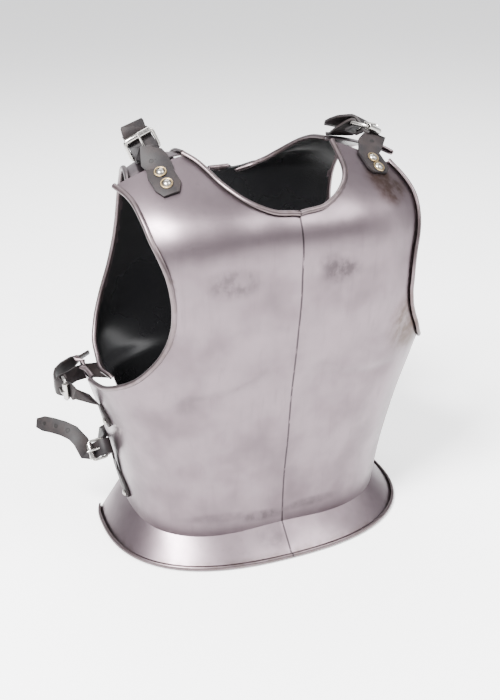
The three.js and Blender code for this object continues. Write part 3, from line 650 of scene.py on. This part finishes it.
class CuirassSettings(bpy.types.PropertyGroup):
    """Sizes and colours of the cuirass."""

    thick: bpy.props.FloatProperty(
        name="Plate thickness", description="Thickness of the steel", default=0.0013, unit="LENGTH"
    )
    bevel: bpy.props.FloatProperty(
        name="Corner rounding", description="Rounding of the hardware", default=0.0005, unit="LENGTH"
    )
    steel_roughness: bpy.props.FloatProperty(
        name="Steel roughness", description="Roughness of the brushed steel", default=0.25
    )
    steel: colour_property("Steel", (0.175, 0.140, 0.154), "Brushed steel")
    steel_dark: colour_property("Dull steel", (0.110, 0.086, 0.096), "Steel where it is duller")
    # Dark smudges, and painted shade in the chest dents.
    smudge_and_shade: colour_property("Smudge", (0.026, 0.021, 0.023), "Dark smudges on the steel")
    # Brown marks on the steel: tarnish by the right shoulder, and other dark brown patches.
    brown_mark: colour_property("Tarnish", (0.044, 0.024, 0.016), "Brown tarnish on the steel")
    paint: colour_property("Paint", (0.004, 0.004, 0.0045), "Black paint inside the plates")
    leather: colour_property("Leather", (0.0075, 0.0062, 0.0068), "Strap leather")
    leather_worn: colour_property("Worn leather", (0.017, 0.0125, 0.0122), "Strap leather where it is worn")
    hole: colour_property("Hole", (0.004, 0.003, 0.003), "Punched holes in the straps")
    nickel: colour_property("Nickel", (0.36, 0.345, 0.325), "Buckles")
    # Painted shade for the rolled edges, where the curl hides them from the light.
    painted_rim_shade: colour_property("Rolled edge", (0.085, 0.066, 0.064), "Rolled edges where they are dull")
    brass: colour_property("Brass", (0.36, 0.27, 0.15), "Rings under the shoulder rivets")
    rivet: colour_property("Rivet", (0.30, 0.285, 0.265), "Rivets")


def settings_of(context):
    return context.scene.cuirass


def outward_chest(p):
    return Vector((p.x, p.y + 15, 0))


def outward_back(p):
    return Vector((p.x - BACK_SHIFT, p.y + 30, 0))


class CUIRASS_OT_breastplate(bpy.types.Operator):
    """Build the breastplate with its ridge, waist flange and curled edges"""

    bl_idname = "cuirass.breastplate"
    bl_label = "Breastplate"

    def execute(self, context):
        settings = settings_of(context)
        top = len(CHEST_ROWS) + 2
        samples = [0, 0.4, 0.8, 1.2, 1.6, 1.85, 1.95, 2, 2.08, 2.2, 2.45, 2.7]
        samples += [3 + k / ROW_STEPS for k in range((top - 3) * ROW_STEPS + 1)]
        piece = build_plate(
            "breast_plate", "plate_steel", [chest_surface(1), chest_surface(-1)], samples, 44,
            [("foot", 0), ("neck", NECK_ROW + 3), ("arm", TIP_ROW + 3)], settings.thick / MM, outward_chest,
        )
        piece.data.materials.append(steel_material("chest_steel", settings, MARKS_AND_SHADE, True))
        return {"FINISHED"}


class CUIRASS_OT_backplate(bpy.types.Operator):
    """Build the backplate with its curled edges"""

    bl_idname = "cuirass.backplate"
    bl_label = "Backplate"

    def execute(self, context):
        settings = settings_of(context)
        top = len(BACK_ROWS) - 1
        samples = [k / ROW_STEPS for k in range(top * ROW_STEPS + 1)]
        piece = build_plate(
            "back_plate", "plate_steel", [back_surface(1), back_surface(-1)], samples, 40,
            [("neck", BACK_NECK_ROW), ("arm", BACK_CORNER_ROW)], settings.thick / MM, outward_back,
        )
        piece.data.materials.append(steel_material("back_steel", settings, [], False))
        return {"FINISHED"}


def nodes_ending(*ends):
    return sorted(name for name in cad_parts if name.endswith(ends))


class CUIRASS_OT_straps(bpy.types.Operator):
    """Build the leather straps"""

    bl_idname = "cuirass.straps"
    bl_label = "Straps"

    def execute(self, context):
        settings = settings_of(context)
        material = leather_material("strap_leather", settings, HOLES)
        for node in nodes_ending("_billet", "_chape"):
            piece = dress(node + "_strap", node, "strap_leather", settings.bevel / MM, 2, 50)
            piece.data.materials.append(material)
        return {"FINISHED"}


class CUIRASS_OT_buckles(bpy.types.Operator):
    """Build the buckles: frames, rollers and prongs"""

    bl_idname = "cuirass.buckles"
    bl_label = "Buckles"

    def execute(self, context):
        settings = settings_of(context)
        material = bright_material("buckle_nickel", settings.nickel, 0.16)
        for node in nodes_ending("_frame", "_roller", "_prong"):
            wide = 1.0 if node.endswith("_frame") else settings.bevel / MM * 0.5
            piece = dress(node + "_metal", node, "buckle_nickel", wide, 3, 40)
            piece.data.materials.append(material)
        return {"FINISHED"}


def turned(bm, profile, middle, axis):
    """A body of revolution about an axis, from (radius, height) points in metres."""
    side = axis.orthogonal().normalized()
    verts = [bm.verts.new(middle + side * r + axis * h) for r, h in profile]
    edges = [bm.edges.new(pair) for pair in zip(verts, verts[1:])]
    bmesh.ops.spin(bm, geom=verts + edges, cent=middle, axis=axis, angle=math.tau, steps=32, use_merge=True)
    bmesh.ops.remove_doubles(bm, verts=bm.verts[:], dist=1e-6)
    bmesh.ops.recalc_face_normals(bm, faces=bm.faces[:])


def seat_of(node):
    """The middle of a rivet's flat base and the direction in which its head stands."""
    bm = bmesh.new()
    bm.from_mesh(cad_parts[node].data)
    bmesh.ops.remove_doubles(bm, verts=bm.verts[:], dist=1e-6)
    bmesh.ops.dissolve_limit(
        bm, angle_limit=math.radians(2), verts=bm.verts[:], edges=bm.edges[:], use_dissolve_boundaries=False
    )
    base = max(bm.faces, key=lambda face: face.calc_area())
    middle, axis = base.calc_center_median(), -base.normal.normalized()
    bm.free()
    return middle, axis


HEAD = [(0, 0), (3.9, 0), (4.1, 0.5), (3.6, 1.3), (2.6, 2.0), (1.4, 2.4), (0, 2.5)]
RING = [(4.4, 0.1), (4.5, 0.9), (5.0, 1.1), (5.7, 0.9), (6.0, 0.1), (4.4, 0.1)]


class CUIRASS_OT_rivets(bpy.types.Operator):
    """Build the rivets and the rings under the shoulder ones"""

    bl_idname = "cuirass.rivets"
    bl_label = "Rivets"

    def execute(self, context):
        settings = settings_of(context)
        material = bright_material("rivet_steel", settings.rivet, 0.24)
        brass = bright_material("ring_brass", settings.brass, 0.3)
        for node in sorted(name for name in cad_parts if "_rivet" in name):
            middle, axis = seat_of(node)
            bm = bmesh.new()
            turned(bm, [(r * MM, h * MM) for r, h in HEAD], middle, axis)
            piece = add_metres(bm, node + "_head", "rivet_steel", node)
            piece.data.materials.append(material)
            if node.startswith("shoulder") and "_billet_" in node:
                bm = bmesh.new()
                turned(bm, [(r * MM, h * MM) for r, h in RING], middle, axis)
                ring = add_metres(bm, node + "_ring", "rivet_steel", node)
                ring.data.materials.append(brass)
        return {"FINISHED"}


def area_light(name, place, aim, size, power):
    light = bpy.data.lights.new(name, "AREA")
    light.shape = "RECTANGLE"
    light.size = size[0]
    light.size_y = size[1]
    light.energy = power
    lamp = bpy.data.objects.new(name, light)
    bpy.context.scene.collection.objects.link(lamp)
    place = Vector(place)
    turn = (Vector(aim) - place).to_track_quat("-Z", "Y")
    lamp.matrix_world = Matrix.Translation(place) @ turn.to_matrix().to_4x4()
    return lamp


class CUIRASS_OT_stage(bpy.types.Operator):
    """Set the floor, the lights and the camera"""

    bl_idname = "cuirass.stage"
    bl_label = "Stage"

    def execute(self, context):
        scene = context.scene
        bm = bmesh.new()
        bmesh.ops.create_grid(bm, x_segments=1, y_segments=1, size=30)
        mesh = bpy.data.meshes.new("floor")
        bm.to_mesh(mesh)
        bm.free()
        floor = bpy.data.objects.new("floor", mesh)
        scene.collection.objects.link(floor)
        pale = Nodes("floor_pale")
        pale.set(Base_Color=(0.92, 0.92, 0.92, 1), Roughness=0.8, Specular_IOR_Level=0.1)
        mesh.materials.append(pale.set(Emission_Color=(1, 1, 1, 1), Emission_Strength=0.6))
        lamps = [area_light(*row) for row in LAMPS]
        world = bpy.data.worlds.new("studio")
        world.use_nodes = True
        world.node_tree.nodes["Background"].inputs["Color"].default_value = (0.97, 0.97, 1.0, 1)
        world.node_tree.nodes["Background"].inputs["Strength"].default_value = 0.9
        scene.world = world
        data = bpy.data.cameras.new("camera")
        data.lens = LENS
        data.sensor_width = 36
        camera = bpy.data.objects.new("camera", data)
        scene.collection.objects.link(camera)
        place = Vector(CAMERA_AT)
        back = (place - Vector(CAMERA_AIM)).normalized()
        right = Vector((0, 0, 1)).cross(back).normalized()
        up = back.cross(right)
        roll = math.radians(CAMERA_ROLL)
        side = right * math.cos(roll) + up * math.sin(roll)
        head = up * math.cos(roll) - right * math.sin(roll)
        camera.matrix_world = Matrix.Translation(place) @ Matrix((side, head, back)).transposed().to_4x4()
        scene.camera = camera
        return {"FINISHED"}


class CUIRASS_PT_panel(bpy.types.Panel):
    """Sizes, colours and steps of the cuirass"""

    bl_label = "Cuirass"
    bl_idname = "CUIRASS_PT_panel"
    bl_space_type = "VIEW_3D"
    bl_region_type = "UI"
    bl_category = "Cuirass"

    def draw(self, context):
        for key in CuirassSettings.__annotations__:
            self.layout.prop(context.scene.cuirass, key)
        for step in STEPS:
            self.layout.operator(step.bl_idname)


STEPS = [
    CUIRASS_OT_breastplate,
    CUIRASS_OT_backplate,
    CUIRASS_OT_straps,
    CUIRASS_OT_buckles,
    CUIRASS_OT_rivets,
    CUIRASS_OT_stage,
]


def register():
    for item in [CuirassSettings, *STEPS, CUIRASS_PT_panel]:
        bpy.utils.register_class(item)
    bpy.types.Scene.cuirass = bpy.props.PointerProperty(type=CuirassSettings)


def unregister():
    del bpy.types.Scene.cuirass
    for item in reversed([CuirassSettings, *STEPS, CUIRASS_PT_panel]):
        bpy.utils.unregister_class(item)


def main():
    register()
    bpy.ops.cuirass.breastplate()
    bpy.ops.cuirass.backplate()
    bpy.ops.cuirass.straps()
    bpy.ops.cuirass.buckles()
    bpy.ops.cuirass.rivets()
    bpy.ops.cuirass.stage()


if __name__ == "__main__":
    main()
